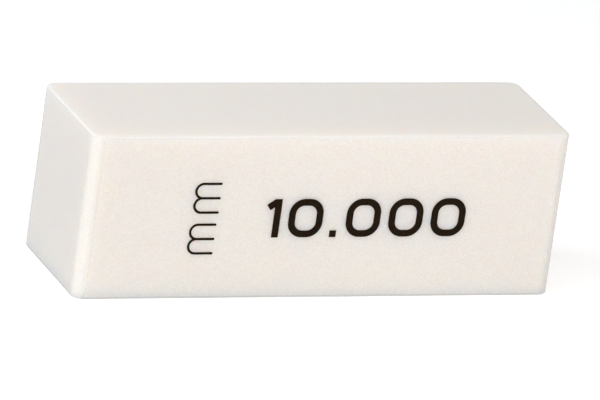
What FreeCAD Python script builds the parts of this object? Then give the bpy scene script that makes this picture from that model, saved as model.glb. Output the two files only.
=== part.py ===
import FreeCAD, Part
import math
import os

import Sketcher

# A rectangular gauge block of zirconia ceramic, 10 mm long between its measuring faces.
#
# It is one ground and lapped piece, so it is one body.  The block stands on its lower
# measuring face, with the origin at the middle of that face:
#   +Z  the measuring direction, from the lower measuring face to the upper one
#   +X  along the length of the cross-section
#   -Y  out of the marked side face
#
# The upright edges between the four side faces are rounded more than the edges round
# the two measuring faces, which are kept small so that the faces still wring flat.

# Each size is written once, in millimetres, and the model reads it from the sheet.
SIZES = [
    ("gauge_length", 10.0, "between the two measuring faces, the block's nominal size"),
    ("section_length", 29.75, "along X, a 30 mm section inside its tolerance of 0 to -0.3"),
    ("section_width", 8.9, "along Y, a 9 mm section inside its tolerance of -0.05 to -0.2"),
    ("side_edge_radius", 0.7, "of the four upright edges"),
    ("face_edge_radius", 0.15, "of the edges round each measuring face, 0.3 at most"),
]

SHEET = "sizes"
LEVEL_TOLERANCE = 1e-6


def make_sheet(doc):
    """The driving dimensions, one row each: name, value and what it is."""
    sheet = doc.addObject("Spreadsheet::Sheet", SHEET)
    for row, (alias, value, meaning) in enumerate(SIZES, start=1):
        sheet.set(f"A{row}", alias)
        sheet.set(f"B{row}", str(value))
        sheet.setAlias(f"B{row}", alias)
        sheet.set(f"C{row}", meaning)
    doc.recompute()
    return sheet


def origin_plane(body, role):
    """One of the body's own origin planes, such as XY_Plane."""
    return next(f for f in body.Origin.OriginFeatures if f.Role == role)


def bind_constraint(sketch, constraint, name, alias):
    """Adds a dimension to the sketch, names it and ties it to the sheet."""
    index = sketch.addConstraint(constraint)
    sketch.renameConstraint(index, name)
    sketch.setExpression(f"Constraints.{name}", f"{SHEET}.{alias}")


def draw_cross_section(body, sheet):
    """The section parallel to the measuring faces: a rectangle with round corners."""
    sketch = body.newObject("Sketcher::SketchObject", "cross_section")
    sketch.AttachmentSupport = [(origin_plane(body, "XY_Plane"), "")]
    sketch.MapMode = "FlatFace"

    half_x = sheet.section_length / 2
    half_y = sheet.section_width / 2
    radius = sheet.side_edge_radius
    up = FreeCAD.Vector(0, 0, 1)

    # The corners run anticlockwise from +X +Y, and each side leads on to the next corner.
    turns = [(1, 1), (-1, 1), (-1, -1), (1, -1)]
    quarter = math.pi / 2
    corners = []
    for number, (side_x, side_y) in enumerate(turns):
        centre = FreeCAD.Vector(side_x * (half_x - radius), side_y * (half_y - radius), 0)
        circle = Part.Circle(centre, up, radius)
        arc = Part.ArcOfCircle(circle, number * quarter, (number + 1) * quarter)
        corners.append(sketch.addGeometry(arc, False))

    sides = []
    for number, corner in enumerate(corners):
        following = corners[(number + 1) % len(corners)]
        start = sketch.getPoint(corner, 2)
        end = sketch.getPoint(following, 1)
        side = sketch.addGeometry(Part.LineSegment(start, end), False)
        sketch.addConstraint(Sketcher.Constraint("Tangent", corner, 2, side, 1))
        sketch.addConstraint(Sketcher.Constraint("Tangent", side, 2, following, 1))
        sides.append(side)

    back, left, front, right = sides
    for side in (back, front):
        sketch.addConstraint(Sketcher.Constraint("Horizontal", side))
    for side in (left, right):
        sketch.addConstraint(Sketcher.Constraint("Vertical", side))
    for corner in corners[1:]:
        sketch.addConstraint(Sketcher.Constraint("Equal", corners[0], corner))

    # Opposite ends of the left and the right side mirror each other through the origin.
    sketch.addConstraint(Sketcher.Constraint("Symmetric", left, 1, right, 1, -1, 1))

    bind_constraint(
        sketch, Sketcher.Constraint("Radius", corners[0], radius),
        "corner", "side_edge_radius",
    )
    bind_constraint(
        sketch, Sketcher.Constraint("DistanceX", left, 1, right, 1, 2 * half_x),
        "along_x", "section_length",
    )
    bind_constraint(
        sketch, Sketcher.Constraint("DistanceY", front, 1, back, 1, 2 * half_y),
        "along_y", "section_width",
    )
    return sketch


def pad_to_gauge_length(body, section):
    """The section carried up from the lower measuring face to the upper one."""
    pad = body.newObject("PartDesign::Pad", "ground_blank")
    pad.Profile = section
    pad.setExpression("Length", f"{SHEET}.gauge_length")
    return pad


def edges_round_measuring_faces(shape, levels):
    """The names of the edges that lie flat at one of these heights."""
    names = []
    for number, edge in enumerate(shape.Edges, start=1):
        box = edge.BoundBox
        flat = box.ZLength < LEVEL_TOLERANCE
        if flat and any(abs(box.Center.z - level) < LEVEL_TOLERANCE for level in levels):
            names.append(f"Edge{number}")
    return names


def round_measuring_face_edges(body, pad, sheet):
    """A small fillet round each measuring face, over the sides and the round corners."""
    fillet = body.newObject("PartDesign::Fillet", "face_edge_rounding")
    levels = (0.0, sheet.gauge_length)
    fillet.Base = (pad, edges_round_measuring_faces(pad.Shape, levels))
    fillet.setExpression("Radius", f"{SHEET}.face_edge_radius")
    return fillet


def make_gauge_block(doc, sheet):
    """The whole block as one body."""
    body = doc.addObject("PartDesign::Body", "Block")
    body.Label = "gauge_block"
    section = draw_cross_section(body, sheet)
    pad = pad_to_gauge_length(body, section)
    doc.recompute()
    round_measuring_face_edges(body, pad, sheet)
    doc.recompute()
    return body


def check_document(doc):
    """Stops the build if any object of the document failed to compute."""
    for item in doc.Objects:
        if "Invalid" in item.State or "Error" in item.State:
            raise RuntimeError(f"{item.Label} did not compute: {item.State}")


def export(subparts):
    """Writes each sub-part's shape to its own STEP file, named by its label."""
    os.makedirs("parts", exist_ok=True)
    for subpart in subparts:
        shape = subpart.Shape
        if shape.isNull() or not shape.isValid():
            raise RuntimeError(f"{subpart.Label} has no valid shape")
        shape.exportStep(os.path.join("parts", f"{subpart.Label}.step"))
        size = shape.optimalBoundingBox(False)
        print(
            f"{subpart.Label}: {len(shape.Solids)} solid, {len(shape.Faces)} faces,"
            f" {size.XLength:.3f} x {size.YLength:.3f} x {size.ZLength:.3f} mm,"
            f" {shape.Volume:.2f} mm3"
        )


def main():
    doc = FreeCAD.newDocument("gauge_block")
    sheet = make_sheet(doc)
    block = make_gauge_block(doc, sheet)
    check_document(doc)
    export([block])


main()
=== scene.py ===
# %% [markdown]
# # A zirconia gauge block
# A gauge block is a length standard. It is one small bar of white zirconia ceramic, ground
# on its four side faces and lapped on the two measuring faces, which lie exactly its
# nominal size apart. This script dresses the CAD solid of a 10 mm block. The solid gives
# the size and the place, and everything that makes it look like ceramic is made here: the
# rounded edges at full smoothness, the finish of each kind of face, the printed marks, and
# a plain studio.
#
# The frame comes first, because every size below is read from it. Lengths are in metres,
# as Blender has them, so a size in millimetres is written as a number times MM.

import math

import bmesh
import bpy
import numpy as np
from mathutils import Matrix, Vector


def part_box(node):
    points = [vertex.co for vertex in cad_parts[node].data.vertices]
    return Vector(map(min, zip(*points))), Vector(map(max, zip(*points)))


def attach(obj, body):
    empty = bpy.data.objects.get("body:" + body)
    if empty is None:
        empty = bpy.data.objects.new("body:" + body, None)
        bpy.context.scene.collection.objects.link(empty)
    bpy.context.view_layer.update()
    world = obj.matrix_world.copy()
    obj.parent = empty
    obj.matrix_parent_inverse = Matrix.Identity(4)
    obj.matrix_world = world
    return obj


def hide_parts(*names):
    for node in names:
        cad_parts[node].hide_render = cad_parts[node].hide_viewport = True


MM = 0.001
BLOCK_NODE = "gauge_block"
BODY = "root"

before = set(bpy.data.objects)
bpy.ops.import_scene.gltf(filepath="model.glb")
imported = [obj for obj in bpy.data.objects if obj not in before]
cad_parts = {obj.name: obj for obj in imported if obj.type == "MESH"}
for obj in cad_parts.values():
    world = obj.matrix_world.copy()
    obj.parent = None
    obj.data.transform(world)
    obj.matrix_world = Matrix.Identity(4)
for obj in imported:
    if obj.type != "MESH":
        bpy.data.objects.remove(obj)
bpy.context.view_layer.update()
low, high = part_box(BLOCK_NODE)
section_length, section_width, gauge_length = high - low
print(f"block {section_length / MM:.3f} x {section_width / MM:.3f} x {gauge_length / MM:.3f} mm")

# %% [markdown]
# ## Small helpers
# New pieces are numpy grids. A grid has rows and columns of points, and its faces are the
# little squares between them. Where a grid closes on itself, such as a wall that runs all
# the way round, its last column joins its first. Working out all the corners as one array
# is shorter than a loop over faces, and much faster.


# %% Grids into meshes
def grid_faces(rows, columns, closed_columns=False):
    """The squares of a grid, each as four point numbers.

    Point (i, j) has the number i * columns + j, and its square runs on to (i, j + 1),
    (i + 1, j + 1) and (i + 1, j), where j + 1 starts again at 0 on a closed grid.
    """
    across = columns if closed_columns else columns - 1
    i, j = np.meshgrid(np.arange(rows - 1), np.arange(across), indexing="ij")
    next_j = (j + 1) % columns
    square = np.stack(
        [i * columns + j, i * columns + next_j, (i + 1) * columns + next_j, (i + 1) * columns + j],
        axis=-1,
    )
    return square.reshape(-1, 4)


def make_piece(name, points, faces):
    """A mesh object at the origin, with its place in its points."""
    mesh = bpy.data.meshes.new(name)
    mesh.from_pydata(points.tolist(), [], [list(face) for face in faces])
    mesh.update()
    piece = bpy.data.objects.new(name, mesh)
    bpy.context.scene.collection.objects.link(piece)
    return piece


def close_seams(piece, distance):
    """Merges points that lie on each other, and turns every face outwards."""
    shape = bmesh.new()
    shape.from_mesh(piece.data)
    bmesh.ops.remove_doubles(shape, verts=shape.verts, dist=distance)
    bmesh.ops.recalc_face_normals(shape, faces=shape.faces)
    open_edges = sum(not edge.is_manifold for edge in shape.edges)
    volume = shape.calc_volume(signed=True)
    shape.to_mesh(piece.data)
    shape.free()
    return open_edges, volume


# %% [markdown]
# ## The block's form
# The edges are what the eye reads on such a plain thing. The four upright edges, between
# the side faces, are rounded generously. The edges round the measuring faces are kept
# small, so that the faces still wring flat. The CAD mesh has only a few facets there, and
# a highlight breaks up on them, so the block is worked out again as a finer surface.
#
# A bevel modifier on a box could round the edges too, but it gives one radius, or needs
# weights, and it leaves the corners to chance. Here the form has two steps. Seen from
# above, the section is a rectangle with round corners. Seen from the side, a profile says
# how far the surface lies inside that section at each height. The wall is the section
# carried along the profile, and a flat cap closes it at each end.

# %% Sizes of the form
SIDE_EDGE_RADIUS = 0.7 * MM
FACE_EDGE_RADIUS = 0.15 * MM
EIGHTH_TURN_STEPS = 14
ROUNDING_STEPS = 14
FLAT_STEP = 0.5 * MM
MERGE_DISTANCE = 0.0005 * MM
CAP_SLACK = 0.0001 * MM
ROUNDING_SLACK = 0.001 * MM


# %% The section, as one lattice
def stations(half):
    """Lattice lines across the section: close together at both ends, wider between.

    Counted from the middle, the lines run to half minus the edge radius at about one
    FLAT_STEP each, and then to half in EIGHTH_TURN_STEPS even steps.
    """
    inner = half - SIDE_EDGE_RADIUS
    flat = np.linspace(-inner, inner, 2 * math.ceil(inner / FLAT_STEP) + 1)
    end = np.linspace(inner, half, EIGHTH_TURN_STEPS + 1)[1:]
    return np.concatenate([-end[::-1], flat, end])


def round_corners(x, y, half_x, half_y, inset):
    """Moves lattice points so that the rectangle gets round corners, inset all round.

    In the corner squares, with s and t the shares of the edge radius past the corner's
    centre, a point goes to the distance max(s, t) from that centre, at the angle
    atan(t / s) of a square spread evenly over a quarter turn: 45 degrees times t / s below
    the diagonal, and 90 minus 45 times s / t above it. The radius is the edge radius less
    the inset, and the sides move in by the inset too.
    """
    inner_x = half_x - SIDE_EDGE_RADIUS
    inner_y = half_y - SIDE_EDGE_RADIUS
    s = np.maximum(np.abs(x) - inner_x, 0) / SIDE_EDGE_RADIUS
    t = np.maximum(np.abs(y) - inner_y, 0) / SIDE_EDGE_RADIUS
    reach = np.maximum(s, t)
    below = (math.pi / 4) * t / np.maximum(s, 1e-9)
    above = math.pi / 2 - (math.pi / 4) * s / np.maximum(t, 1e-9)
    angle = np.where(s >= t, below, above)
    radius = (SIDE_EDGE_RADIUS - inset) * reach
    new_x = np.minimum(np.abs(x), inner_x) + radius * np.cos(angle) * (reach > 0)
    new_y = np.minimum(np.abs(y), inner_y) + radius * np.sin(angle) * (reach > 0)
    return np.copysign(new_x, x), np.copysign(new_y, y)


lines_x = stations(section_length / 2)
lines_y = stations(section_width / 2)
print(f"section lattice {len(lines_x)} x {len(lines_y)} lines")

# %% [markdown]
# The wall's rows follow the profile: up the lower rounding, straight up the side face, and
# in over the upper rounding. At the angle a past the vertical, the rounding lies r - r cos a
# inside the section and r sin a beyond the height where it began.


# %% The wall and its profile
def edge_profile(height):
    """Pairs of inset and height from the lower cap to the upper one."""
    r = FACE_EDGE_RADIUS
    angle = np.linspace(0, math.pi / 2, ROUNDING_STEPS + 1)
    inset = r - r * np.cos(angle)
    rise = height - r + r * np.sin(angle)
    rows = math.ceil((height - 2 * r) / FLAT_STEP)
    straight = np.linspace(r, height - r, rows + 1)[1:-1]
    return (
        np.concatenate([inset[::-1], np.zeros(len(straight)), inset]),
        np.concatenate([height - rise[::-1], straight, rise]),
    )


def outline_lattice(x_lines, y_lines):
    """The lattice points on the section's border, anticlockwise from the corner -X -Y."""
    first_x, last_x = x_lines[0], x_lines[-1]
    first_y, last_y = y_lines[0], y_lines[-1]
    x = np.concatenate([
        x_lines[:-1], np.full(len(y_lines) - 1, last_x),
        x_lines[:0:-1], np.full(len(y_lines) - 1, first_x),
    ])
    y = np.concatenate([
        np.full(len(x_lines) - 1, first_y), y_lines[:-1],
        np.full(len(x_lines) - 1, last_y), y_lines[:0:-1],
    ])
    return x, y


def wall_points(height):
    """The border carried along the profile: one row for each pair of inset and height."""
    border_x, border_y = outline_lattice(lines_x, lines_y)
    insets, heights = edge_profile(height)
    rows = []
    for inset, z in zip(insets, heights):
        x, y = round_corners(border_x, border_y, lines_x[-1], lines_y[-1], inset)
        rows.append(np.stack([x, y, np.full(len(x), z)], axis=-1))
    return np.stack(rows)


def cap_points(z):
    """The whole lattice at one height, inset by the small radius."""
    x, y = np.meshgrid(lines_x, lines_y, indexing="ij")
    x, y = round_corners(x, y, lines_x[-1], lines_y[-1], FACE_EDGE_RADIUS)
    return np.stack([x, y, np.full(x.shape, z)], axis=-1)


def make_block():
    """The wall and the two caps as one closed mesh."""
    wall = wall_points(gauge_length)
    rows, columns, _ = wall.shape
    parts = [(wall.reshape(-1, 3), grid_faces(rows, columns, closed_columns=True))]
    for z in (0.0, gauge_length):
        cap = cap_points(z)
        parts.append((cap.reshape(-1, 3), grid_faces(*cap.shape[:2])))
    points, faces, first = [], [], 0
    for part_points, part_faces in parts:
        points.append(part_points)
        faces.append(part_faces + first)
        first += len(part_points)
    return make_piece("ceramic_block", np.concatenate(points), np.concatenate(faces))


block = make_block()
open_edges, block_volume = close_seams(block, MERGE_DISTANCE)
print(f"block: {len(block.data.polygons)} faces, {open_edges} open edges, {block_volume / MM**3:.2f} mm3")

# %% [markdown]
# ## Shading the flats as flats
# Smooth shading averages the faces that meet at a point, so it would bend the light on the
# outermost strip of every flat face. The true direction at each point is known from the
# form, so it is given to the mesh. It points away from the nearest point of an inner core,
# which is what is left of the block when every radius is taken off.


# %% Directions of the surface
def surface_directions(points):
    """The outward direction at each point of the block.

    Across the section it points from the nearest point of the section's inner rectangle.
    Its share of height comes from the small rounding: the point's height past the start
    of the rounding, divided by the radius, is the sine of the angle.
    """
    inner = np.array([section_length, section_width]) / 2 - SIDE_EDGE_RADIUS
    across = points[:, :2] - np.clip(points[:, :2], -inner, inner)
    length = np.linalg.norm(across, axis=1)
    across = across / np.maximum(length, 1e-9)[:, None]
    r = FACE_EDGE_RADIUS
    past = points[:, 2] - np.clip(points[:, 2], r, gauge_length - r)
    sine = np.clip(past / r, -1, 1)
    cosine = np.sqrt(1 - sine**2)
    on_cap = np.abs(sine) > 1 - 1e-4
    cosine[on_cap] = 0
    sine[on_cap] = np.sign(sine[on_cap])
    return np.column_stack([across * cosine[:, None], sine])


def mesh_points(mesh):
    """All the points of a mesh as one array."""
    values = np.empty(len(mesh.vertices) * 3)
    mesh.vertices.foreach_get("co", values)
    return values.reshape(-1, 3)


block.data.polygons.foreach_set("use_smooth", [True] * len(block.data.polygons))
block.data.normals_split_custom_set_from_vertices(surface_directions(mesh_points(block.data)).tolist())

# %% [markdown]
# ## Three finishes on one piece
# The same ceramic has three finishes. The side faces are ground to a fine even satin. The
# measuring faces are lapped smoother still. The edges are rounded last and come out
# smoothest. Each polygon is sorted by where its middle lies, and gets the number of its
# material: 0 for a side face, 1 for a measuring face, 2 for a rounded edge.

# %% Sorting the polygons
GROUND, LAPPED, ROUNDED = 0, 1, 2


def polygon_finishes(mesh):
    """GROUND, LAPPED or ROUNDED for each polygon, from the place of its middle."""
    middles = np.empty(len(mesh.polygons) * 3)
    mesh.polygons.foreach_get("center", middles)
    x, y, z = np.abs(middles.reshape(-1, 3) - [0, 0, gauge_length / 2]).T
    flat_height = gauge_length / 2 - FACE_EDGE_RADIUS
    inner_x = section_length / 2 - SIDE_EDGE_RADIUS
    inner_y = section_width / 2 - SIDE_EDGE_RADIUS
    on_cap = z > gauge_length / 2 - CAP_SLACK
    on_corner = (x > inner_x) & (y > inner_y)
    on_rounding = z > flat_height + ROUNDING_SLACK
    return np.where(on_cap, LAPPED, np.where(on_corner | on_rounding, ROUNDED, GROUND))


finishes = polygon_finishes(block.data)
print("polygons ground, lapped, rounded:", *np.bincount(finishes))

# %% [markdown]
# ## The ceramic
# Zirconia is white, dense and very slightly translucent. Light goes a little way in,
# scatters and comes out warmer, and near an edge it has less way to go, so edges look
# paler. Subsurface scattering gives exactly that. The material bends light strongly, much
# more than glass, so its surface also mirrors more: its index of refraction is about 2.15.
#
# A fine grain and slow clouds break the colour up a little, and a bump gives the satin.
# Patterns read Object coordinates, which are metres here, so the scale of a pattern is one
# over the size of its features in metres: more than ten thousand for the grain.

# %% Values of the ceramic
CERAMIC_COLOUR = (0.90, 0.86, 0.81)
REFRACTIVE_INDEX = 2.15
SCATTER_RADIUS = (1.20 * MM, 1.00 * MM, 0.80 * MM)
GRAIN_SIZE = 0.065 * MM
GRAIN_SHARE = 0.28
CLOUD_SIZE = 4.0 * MM
CLOUD_SHARE = 0.012


# %% Node helpers
def new_material(name):
    """A material with only its output, and the tree to build it in."""
    material = bpy.data.materials.new(name)
    material.use_nodes = True
    tree = material.node_tree
    tree.nodes.clear()
    return material, tree, tree.nodes.new("ShaderNodeOutputMaterial")


def join(tree, source, target):
    """Feeds a socket from another socket, or sets it to a plain value."""
    if isinstance(source, bpy.types.NodeSocket):
        tree.links.new(source, target)
    else:
        target.default_value = source


def math_node(tree, operation, *values):
    """One step of arithmetic on sockets or numbers."""
    node = tree.nodes.new("ShaderNodeMath")
    node.operation = operation
    for value, socket in zip(values, node.inputs):
        join(tree, value, socket)
    return node.outputs[0]


def soft_step(tree, value, start, end, low_value=0.0, high_value=1.0):
    """Goes smoothly from low_value to high_value as value goes from start to end."""
    node = tree.nodes.new("ShaderNodeMapRange")
    node.interpolation_type = "SMOOTHSTEP"
    for name, given in (
        ("Value", value), ("From Min", start), ("From Max", end),
        ("To Min", low_value), ("To Max", high_value),
    ):
        join(tree, given, node.inputs[name])
    return node.outputs[0]


def noise(tree, place, feature_size, detail=2.0):
    """A noise pattern from 0 to 1 whose features are about feature_size long."""
    node = tree.nodes.new("ShaderNodeTexNoise")
    tree.links.new(place, node.inputs["Vector"])
    node.inputs["Scale"].default_value = 1 / feature_size
    node.inputs["Detail"].default_value = detail
    return node.outputs["Fac"]


def tinted(tree, colour, brightness):
    """A colour times a brightness that varies over the surface."""
    node = tree.nodes.new("ShaderNodeVectorMath")
    node.operation = "SCALE"
    join(tree, colour, node.inputs[0])
    join(tree, brightness, node.inputs["Scale"])
    return node.outputs[0]


# %% The ceramic as a material
def ceramic(name, roughness, bump_height):
    """White zirconia, with the roughness and the bump of one finish."""
    material, tree, output = new_material(name)
    place = tree.nodes.new("ShaderNodeTexCoord").outputs["Object"]
    grain = noise(tree, place, GRAIN_SIZE, detail=1.0)
    clouds = noise(tree, place, CLOUD_SIZE)
    grain_part = math_node(tree, "MULTIPLY_ADD", grain, GRAIN_SHARE, 1 - GRAIN_SHARE / 2)
    cloud_part = math_node(tree, "MULTIPLY_ADD", clouds, CLOUD_SHARE, 1 - CLOUD_SHARE / 2)
    brightness = math_node(tree, "MULTIPLY", grain_part, cloud_part)

    bump = tree.nodes.new("ShaderNodeBump")
    bump.inputs["Strength"].default_value = 1.0
    bump.inputs["Distance"].default_value = bump_height
    tree.links.new(grain, bump.inputs["Height"])

    shader = tree.nodes.new("ShaderNodeBsdfPrincipled")
    shader.subsurface_method = "RANDOM_WALK"
    shader.inputs["Subsurface Weight"].default_value = 1.0
    shader.inputs["Subsurface Radius"].default_value = tuple(r / MM for r in SCATTER_RADIUS)
    shader.inputs["Subsurface Scale"].default_value = MM
    shader.inputs["IOR"].default_value = REFRACTIVE_INDEX
    shader.inputs["Roughness"].default_value = roughness
    tree.links.new(tinted(tree, CERAMIC_COLOUR, brightness), shader.inputs["Base Color"])
    tree.links.new(bump.outputs[0], shader.inputs["Normal"])
    tree.links.new(shader.outputs[0], output.inputs["Surface"])
    return material


ground_ceramic = ceramic("ground_side_faces", roughness=0.34, bump_height=0.002 * MM)
lapped_ceramic = ceramic("lapped_measuring_faces", roughness=0.30, bump_height=0.001 * MM)
rounded_ceramic = ceramic("rounded_edges", roughness=0.12, bump_height=0.0)
for finish in (ground_ceramic, lapped_ceramic, rounded_ceramic):
    block.data.materials.append(finish)
block.data.polygons.foreach_set("material_index", finishes.astype(np.int32))
block.data.update()

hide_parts(BLOCK_NODE)
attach(block, BODY)

# %% [markdown]
# ## The marks
# A gauge block carries its nominal size and the unit on a side face. They are a dark print
# only a hundredth of a millimetre thick. Each stroke is a ribbon: a flattened ring carried
# along the middle line of the stroke. The unit is drawn with one thin round pen line, and
# the number in broad strokes cut off square.
#
# Places on the marked face are given as a workshop would read them: millimetres to the
# right from the face's left edge, and millimetres up from its lower edge.

# %% Sizes of the marks
PRINT_THICKNESS = 0.010 * MM
UNIT_STROKE = 0.15 * MM
NUMBER_STROKE = 0.42 * MM
PEN_SPACING = 0.03 * MM
RING_SIDES = 12
PRINT_MERGE_DISTANCE = 0.00002 * MM


# %% Middle lines of the strokes
def straight(start, end):
    """Evenly spaced points from start to end, without the last one."""
    start, end = np.array(start), np.array(end)
    count = max(2, math.ceil(np.linalg.norm(end - start) * MM / PEN_SPACING))
    share = np.linspace(0, 1, count, endpoint=False)[:, None]
    return start + (end - start) * share


def arc(centre, radius, from_degrees, to_degrees):
    """Points on a circle at even angles, without the last one."""
    turn = math.radians(abs(to_degrees - from_degrees))
    count = max(4, math.ceil(turn * radius * MM / PEN_SPACING))
    angle = np.radians(np.linspace(from_degrees, to_degrees, count, endpoint=False))
    return np.array(centre) + radius * np.stack([np.cos(angle), np.sin(angle)], axis=-1)


# %% [markdown]
# A ribbon needs to know, at each point of its middle line, which way is across. On a smooth
# line that is a right angle to the direction. At a corner it is the mitre: halfway between
# the two directions, and longer by one over the cosine of half the turn. A round end
# narrows as a half circle does, and a square end is drawn together at once.


# %% A stroke as a ribbon
def across_the_line(line, closed):
    """The sideways direction at each point, lengthened at corners as a mitre is."""
    if closed:
        before = line - np.roll(line, 1, axis=0)
        after = np.roll(line, -1, axis=0) - line
    else:
        steps = np.diff(line, axis=0)
        before = np.vstack([steps[:1], steps])
        after = np.vstack([steps, steps[-1:]])
    before = before / np.linalg.norm(before, axis=1)[:, None]
    after = after / np.linalg.norm(after, axis=1)[:, None]
    middle = before + after
    middle = middle / np.linalg.norm(middle, axis=1)[:, None]
    half_turn_cosine = (middle * after).sum(axis=1)
    sideways = np.stack([-middle[:, 1], middle[:, 0]], axis=-1)
    return sideways / half_turn_cosine[:, None]


def end_widths(line, half_width, round_ends):
    """The share of the full width at each point of an open line.

    At a round end it is the square root of 1 - q * q, where q falls from 1 at the tip to
    0 one half width further in. At a square end only the last point has no width.
    """
    along = np.concatenate([[0], np.cumsum(np.linalg.norm(np.diff(line, axis=0), axis=1))])
    to_end = np.minimum(along, along[-1] - along)
    if round_ends:
        q = np.clip(1 - to_end / half_width, 0, 1)
        return np.sqrt(1 - q**2)
    return (to_end > 0).astype(float)


def ribbon(line, width, closed=False, round_ends=True):
    """Points and faces of one printed stroke, on the marked face of the block.

    The section is a flattened ring, a superellipse: across it is the half width times the
    root of the cosine, and in height the print's thickness times the root of the sine,
    each with its sign. Half of the ring stands proud of the face.
    """
    half = width / 2 / MM
    if not closed and round_ends:
        tip = half * (1 - np.cos(np.linspace(0, math.pi / 2, 8)))[:-1, None]
        start_way = (line[1] - line[0]) / np.linalg.norm(line[1] - line[0])
        end_way = (line[-1] - line[-2]) / np.linalg.norm(line[-1] - line[-2])
        inside = line[1:-1]
        keep = (np.linalg.norm(inside - line[0], axis=1) > half) & (
            np.linalg.norm(inside - line[-1], axis=1) > half)
        line = np.vstack([line[0] + start_way * tip, inside[keep], (line[-1] - end_way * tip)[::-1]])
    elif not closed:
        line = np.vstack([line[:1], line[:1] + (line[1] - line[0]) * 1e-3, line[1:-1],
                          line[-1:] - (line[-1] - line[-2]) * 1e-3, line[-1:]])
    sideways = across_the_line(line, closed)
    share = np.ones(len(line)) if closed else end_widths(line, half, round_ends)
    angle = np.linspace(0, 2 * math.pi, RING_SIDES, endpoint=False)
    over = np.sign(np.cos(angle)) * np.sqrt(np.abs(np.cos(angle)))
    proud = np.sign(np.sin(angle)) * np.sqrt(np.abs(np.sin(angle)))
    flat = line[:, None, :] + sideways[:, None, :] * (half * share[:, None] * over)[..., None]
    depth = -PRINT_THICKNESS * proud[None, :] * np.minimum(1, 3 * share)[:, None]
    left = -section_length / 2
    face = -section_width / 2
    points = np.stack(
        [left + flat[..., 0] * MM, np.broadcast_to(face + depth, flat.shape[:2]), flat[..., 1] * MM],
        axis=-1,
    )
    rows = len(line)
    if closed:
        points = np.concatenate([points, points[:1]])
        rows += 1
    return points.reshape(-1, 3), grid_faces(rows, RING_SIDES, closed_columns=True)


def print_mark(name, strokes, material):
    """One printed mark from its strokes, closed and riding on the block."""
    points, faces, first = [], [], 0
    for stroke_points, stroke_faces in strokes:
        points.append(stroke_points)
        faces.append(stroke_faces + first)
        first += len(stroke_points)
    mark = make_piece(name, np.concatenate(points), np.concatenate(faces))
    open_count, _ = close_seams(mark, PRINT_MERGE_DISTANCE)
    mark.data.polygons.foreach_set("use_smooth", [True] * len(mark.data.polygons))
    mark.data.materials.append(material)
    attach(mark, BODY)
    print(f"{name}: {len(strokes)} strokes, {len(mark.data.polygons)} faces, {open_count} open edges")
    return mark


# %% The print's own material
PRINT_COLOUR = (0.014, 0.007, 0.002)


def dark_print():
    """Dark brown-black print, matt and slightly uneven."""
    material, tree, output = new_material("dark_print")
    place = tree.nodes.new("ShaderNodeTexCoord").outputs["Object"]
    speckle = noise(tree, place, 0.12 * MM)
    shader = tree.nodes.new("ShaderNodeBsdfPrincipled")
    shader.inputs["IOR"].default_value = 1.25
    brightness = soft_step(tree, speckle, 0.3, 0.8, 0.7, 1.8)
    tree.links.new(tinted(tree, PRINT_COLOUR, brightness), shader.inputs["Base Color"])
    tree.links.new(soft_step(tree, speckle, 0.2, 0.8, 0.55, 0.75), shader.inputs["Roughness"])
    tree.links.new(shader.outputs[0], output.inputs["Surface"])
    return material


printed = dark_print()

# %% [markdown]
# The unit stands on its side: both letters are turned a quarter turn to the left, and read
# upwards. Each letter is three legs that point right, joined by two half circles on the
# left. The pen draws the upper leg, the first half circle and the middle leg in one go,
# and then the second half circle and the lower leg.

# %% The unit
LEG_GAP = 0.886
ARCH_CENTRE = 7.12
LEG_END = 8.24
UNIT_LETTERS = ((7.10, 0.0), (4.58, -0.04))


def unit_letter(top_leg, shift):
    """The two pen lines of one letter, whose top leg lies at that height."""
    radius = LEG_GAP / 2
    centre, end = ARCH_CENTRE + shift, LEG_END + shift
    middle_leg, low_leg = top_leg - LEG_GAP, top_leg - 2 * LEG_GAP
    first = np.vstack([
        straight((end, top_leg), (centre, top_leg)),
        arc((centre, top_leg - radius), radius, 90, 270),
        straight((centre, middle_leg), (end, middle_leg)),
        [(end, middle_leg)],
    ])
    second = np.vstack([
        arc((centre, middle_leg - radius), radius, 90, 270),
        straight((centre, low_leg), (end, low_leg)),
        [(end, low_leg)],
    ])
    return [ribbon(first, UNIT_STROKE), ribbon(second, UNIT_STROKE)]


unit_strokes = []
for top_leg, shift in UNIT_LETTERS:
    unit_strokes += unit_letter(top_leg, shift)
unit_mark = print_mark("unit_mark", unit_strokes, printed)

# %% [markdown]
# The number is the nominal size in plain upright figures. A nought is a rounded rectangle
# whose middle line closes on itself, and the one is a stem and a short slanting flag. The
# flag's two ends are given from the top of the stem's middle line.

# %% The number
NUMBER = "10.000"
NUMBER_MIDDLE = 17.44
NUMBER_BASE = 3.76
FIGURE_HEIGHT = 2.38
NOUGHT_WIDTH = 2.14
NOUGHT_CORNER = 0.72
ONE_WIDTH = 0.92
FLAG_START = (-0.593, -0.520)
FLAG_END = (-0.085, -0.164)
FIGURE_GAP = 0.52


def nought(left):
    """A closed ribbon round a rounded rectangle."""
    inset = NUMBER_STROKE / 2 / MM
    x0, x1 = left + inset, left + NOUGHT_WIDTH - inset
    y0, y1 = NUMBER_BASE + inset, NUMBER_BASE + FIGURE_HEIGHT - inset
    r = NOUGHT_CORNER
    line = np.vstack([
        arc((x1 - r, y0 + r), r, -90, 0), straight((x1, y0 + r), (x1, y1 - r)),
        arc((x1 - r, y1 - r), r, 0, 90), straight((x1 - r, y1), (x0 + r, y1)),
        arc((x0 + r, y1 - r), r, 90, 180), straight((x0, y1 - r), (x0, y0 + r)),
        arc((x0 + r, y0 + r), r, 180, 270), straight((x0 + r, y0), (x1 - r, y0)),
    ])
    return [ribbon(line, NUMBER_STROKE, closed=True)]


def square_stroke(start, end):
    """A straight stroke of the number's width, cut off square at both ends."""
    return ribbon(np.vstack([straight(start, end), [end]]), NUMBER_STROKE, round_ends=False)


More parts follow.
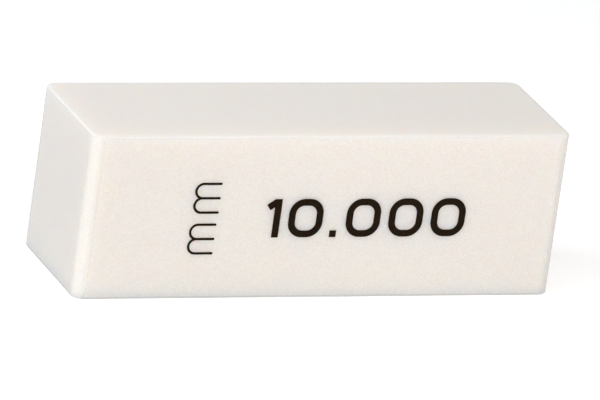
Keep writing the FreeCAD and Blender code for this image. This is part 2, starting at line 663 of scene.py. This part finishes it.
def one(left):
    """An upright stem, and a slanting flag that meets it at the top."""
    stem = left + ONE_WIDTH - NUMBER_STROKE / 2 / MM
    top = NUMBER_BASE + FIGURE_HEIGHT
    flag_start = (stem + FLAG_START[0], top + FLAG_START[1])
    flag_end = (stem + FLAG_END[0], top + FLAG_END[1])
    return [square_stroke((stem, top), (stem, NUMBER_BASE)), square_stroke(flag_start, flag_end)]


def point(left):
    """The decimal point, a short square stroke."""
    side = NUMBER_STROKE / MM
    x = left + side / 2
    return [square_stroke((x, NUMBER_BASE), (x, NUMBER_BASE + side))]


FIGURES = {
    "0": (nought, NOUGHT_WIDTH),
    "1": (one, ONE_WIDTH),
    ".": (point, NUMBER_STROKE / MM),
}


def number_strokes(text):
    """The strokes of the figures, side by side about NUMBER_MIDDLE."""
    widths = [FIGURES[figure][1] for figure in text]
    left = NUMBER_MIDDLE - (sum(widths) + FIGURE_GAP * (len(text) - 1)) / 2
    strokes = []
    for figure, width in zip(text, widths):
        strokes += FIGURES[figure][0](left)
        left += width + FIGURE_GAP
    return strokes


number_mark = print_mark("number_mark", number_strokes(NUMBER), printed)

# %% [markdown]
# ## The studio
# The block stands on a plain white table. Most of its light is wide and soft and comes from
# the walls of the room. Two small softboxes stand close to it, one in front and one at the
# left. A softbox's strength is given as the brightness of a white card that faces it at the
# block, because that is easy to add up in the head: shares that come to about one show a
# colour about as it is written. A square lamp of power P lights such a card, at the
# distance d, to P / (pi * d)**2.
#
# Each row of LAMPS gives a lamp's name, how many degrees it stands to the left of the front
# and above the table, its distance and the length of its side in metres, the brightness of
# the card and the lamp's tint.

# %% Softboxes
LAMPS = (
    ("front_softbox", -10, 35, 0.12, 0.08, 0.385, (1.147, 1.000, 1.026)),
    ("left_softbox", 110, 40, 0.12, 0.08, 0.323, (1.034, 1.000, 1.156)),
)
block_middle = Vector((0, 0, gauge_length / 2))


def direction(to_the_left, up):
    """The unit vector so many degrees to the left of the front, and so many up."""
    left, rise = math.radians(to_the_left), math.radians(up)
    return Vector((-math.sin(left) * math.cos(rise), -math.cos(left) * math.cos(rise), math.sin(rise)))


def softbox(name, to_the_left, up, distance, side, card_brightness, colour):
    """A square lamp that faces the middle of the block and isn't mirrored in it."""
    data = bpy.data.lights.new(name, "AREA")
    data.shape = "SQUARE"
    data.size = side
    data.energy = card_brightness * (math.pi * distance) ** 2
    data.color = colour
    lamp = bpy.data.objects.new(name, data)
    way = direction(to_the_left, up)
    lamp.location = block_middle + way * distance
    lamp.rotation_euler = way.to_track_quat("Z", "Y").to_euler()
    lamp.visible_camera = False
    lamp.visible_glossy = False
    bpy.context.scene.collection.objects.link(lamp)
    return lamp


for settings in LAMPS:
    softbox(*settings)
print(f"{len(LAMPS)} softboxes")

# %% [markdown]
# The room is described the way a photographer would sketch it from above: a list of angles,
# counted in degrees from the front towards the left, and how bright the wall is there.
# WALLS is the light that falls on the block. MIRRORED_LOW and MIRRORED_HIGH are what its
# polish reflects, below and above the horizon. There, a bright card at the left puts the
# crisp band on the rounded upright edge, and the right front is dim.

# %% The room
WALLS = (
    (-180, 0.76), (-135, 0.34), (-90, 0.04), (-45, 0.43), (0, 0.99), (45, 1.52),
    (90, 1.00), (125, 0.10), (140, 0.10), (180, 0.76),
)
WALL_TOP = 50
CEILING = 0.26
MIRRORED_LOW = (
    (-180, 0.35), (-150, 0.60), (-95, 0.62), (-80, 0.16), (-25, 0.26), (24, 0.28), (32, 0.82),
    (45, 0.82), (61, 0.64), (78, 0.86), (107, 0.90), (115, 0.55), (150, 0.57), (180, 0.35),
)
MIRRORED_HIGH = (
    (-180, 0.94), (-150, 0.89), (-130, 0.69), (-45, 0.35), (-30, 0.08), (100, 0.14),
    (120, 0.68), (180, 0.94),
)
BRIGHTEST = 2.0
LIGHT_COLOUR = (0.899, 0.950, 0.912)
MIRRORED_COLOUR = (1.086, 1.056, 0.990)


def separate(tree, vector):
    """The x, y and z sockets of a vector."""
    node = tree.nodes.new("ShaderNodeSeparateXYZ")
    tree.links.new(vector, node.inputs[0])
    return node.outputs


def wall_angle(tree, way):
    """The angle of a direction from the front, -Y, to the left, -X, as a share of a turn.

    In degrees it is atan2(-x, -y), from -180 to 180, and the share runs from 0 to 1.
    """
    left = math_node(tree, "MULTIPLY", way["X"], -1.0)
    front = math_node(tree, "MULTIPLY", way["Y"], -1.0)
    angle = math_node(tree, "ARCTAN2", left, front)
    return math_node(tree, "MULTIPLY_ADD", angle, 1 / (2 * math.pi), 0.5)


def around(tree, share, stops):
    """The brightness at that share of a turn, straight from each stop to the next."""
    ramp = tree.nodes.new("ShaderNodeValToRGB")
    tree.links.new(share, ramp.inputs["Fac"])
    ramp.color_ramp.interpolation = "LINEAR"
    elements = ramp.color_ramp.elements
    while len(elements) < len(stops):
        elements.new(0.5)
    for element, (degrees, brightness) in zip(elements, stops):
        element.position = (degrees + 180) / 360
        level = brightness / BRIGHTEST
        element.color = (level, level, level, 1)
    return math_node(tree, "MULTIPLY", ramp.outputs["Color"], BRIGHTEST)


def blend(tree, share, first, second):
    """first where share is 0, second where it is 1."""
    difference = math_node(tree, "SUBTRACT", second, first)
    return math_node(tree, "MULTIPLY_ADD", share, difference, first)


def mix_shaders(tree, share, first, second):
    """The first shader where share is 0, the second where it is 1."""
    node = tree.nodes.new("ShaderNodeMixShader")
    tree.links.new(share, node.inputs[0])
    tree.links.new(first, node.inputs[1])
    tree.links.new(second, node.inputs[2])
    return node.outputs[0]


def glow(tree, kind, colour, strength):
    """An emission or background of that colour and strength."""
    node = tree.nodes.new(kind)
    node.inputs["Color"].default_value = (*colour, 1)
    join(tree, strength, node.inputs["Strength"])
    return node.outputs[0]


# %% The surroundings
def make_world():
    """The walls as light, the mirrored room to a reflection, and white to the camera."""
    world = bpy.data.worlds.new("studio")
    bpy.context.scene.world = world
    world.use_nodes = True
    tree = world.node_tree
    tree.nodes.clear()
    output = tree.nodes.new("ShaderNodeOutputWorld")
    path = tree.nodes.new("ShaderNodeLightPath")
    way = separate(tree, tree.nodes.new("ShaderNodeTexCoord").outputs["Generated"])
    share = wall_angle(tree, way)

    rise_from = math.sin(math.radians(WALL_TOP - 10))
    rise_to = math.sin(math.radians(WALL_TOP + 10))
    over_the_walls = soft_step(tree, way["Z"], rise_from, rise_to)
    light = blend(tree, over_the_walls, around(tree, share, WALLS), CEILING)
    over_horizon = soft_step(tree, way["Z"], -0.05, 0.05)
    mirrored = blend(
        tree, over_horizon, around(tree, share, MIRRORED_LOW), around(tree, share, MIRRORED_HIGH))

    kind = "ShaderNodeBackground"
    shown = mix_shaders(
        tree, path.outputs["Is Glossy Ray"],
        glow(tree, kind, LIGHT_COLOUR, light), glow(tree, kind, MIRRORED_COLOUR, mirrored))
    white = glow(tree, kind, (1, 1, 1), 1.0)
    shown = mix_shaders(tree, path.outputs["Is Transmission Ray"], shown, white)
    shown = mix_shaders(tree, path.outputs["Is Camera Ray"], shown, white)
    tree.links.new(shown, output.inputs["Surface"])


make_world()

# %% [markdown]
# The table is matt white. To the camera it also glows a little, so that it comes out white
# all over and still gets darker where the block shades it. It lies a hundredth of a
# millimetre below the block, so that light reaches the foot of the faces. Reflections pass
# through it to the mirrored room.

# %% The table
TABLE_SIZE = 3.0
TABLE_COLOUR = (0.90, 0.90, 0.90, 1)
TABLE_LIFT = 0.42
TABLE_DROP = 0.01 * MM


def table_material():
    """Matt white, lifted to white for the camera, but still darkened by a shadow."""
    material, tree, output = new_material("white_table")
    path = tree.nodes.new("ShaderNodeLightPath")
    matt = tree.nodes.new("ShaderNodeBsdfDiffuse")
    matt.inputs["Color"].default_value = TABLE_COLOUR
    lifted = tree.nodes.new("ShaderNodeAddShader")
    tree.links.new(matt.outputs[0], lifted.inputs[0])
    tree.links.new(glow(tree, "ShaderNodeEmission", (1, 1, 1), TABLE_LIFT), lifted.inputs[1])
    shown = mix_shaders(tree, path.outputs["Is Camera Ray"], matt.outputs[0], lifted.outputs[0])
    tree.links.new(shown, output.inputs["Surface"])
    return material


half_table = TABLE_SIZE / 2
table_top = -TABLE_DROP
table = make_piece(
    "table",
    np.array([(-half_table, -half_table, table_top), (half_table, -half_table, table_top),
              (half_table, half_table, table_top), (-half_table, half_table, table_top)]),
    np.array([(0, 1, 2, 3)]),
)
table.data.materials.append(table_material())
table.visible_glossy = False

# %% [markdown]
# ## The camera
# A long lens from half a metre away looks at the marked face from the left and from above,
# and is tilted a little about its own axis. The camera stands at the distance along its
# own back direction, moved a little to the side and up so that the block sits where it
# should in the frame.

# %% Camera
VIEW_LEFT = 23.52
VIEW_UP = 19.89
VIEW_ROLL = 8.10
VIEW_DISTANCE = 0.5813
VIEW_SIDE = 0.792 * MM
VIEW_RISE = 4.0235 * MM
SENSOR = 36.0
FOCAL_LENGTH = 597.6


def make_camera():
    """The camera from its three angles: left of the front, above the table, and roll."""
    back = direction(VIEW_LEFT, VIEW_UP)
    turn = math.radians(VIEW_LEFT)
    level_right = Vector((math.cos(turn), -math.sin(turn), 0))
    level_up = back.cross(level_right)
    roll = math.radians(VIEW_ROLL)
    right = math.cos(roll) * level_right + math.sin(roll) * level_up
    up = math.cos(roll) * level_up - math.sin(roll) * level_right
    data = bpy.data.cameras.new("camera")
    data.sensor_width = SENSOR
    data.lens = FOCAL_LENGTH
    data.clip_start, data.clip_end = 0.01, 10.0
    camera = bpy.data.objects.new("camera", data)
    turned = Matrix((right, up, back)).transposed().to_4x4()
    camera.matrix_world = Matrix.Translation(
        right * VIEW_SIDE + up * VIEW_RISE + back * VIEW_DISTANCE) @ turned
    bpy.context.scene.collection.objects.link(camera)
    bpy.context.scene.camera = camera
    return camera


camera = make_camera()
bpy.context.scene.view_settings.view_transform = "Standard"
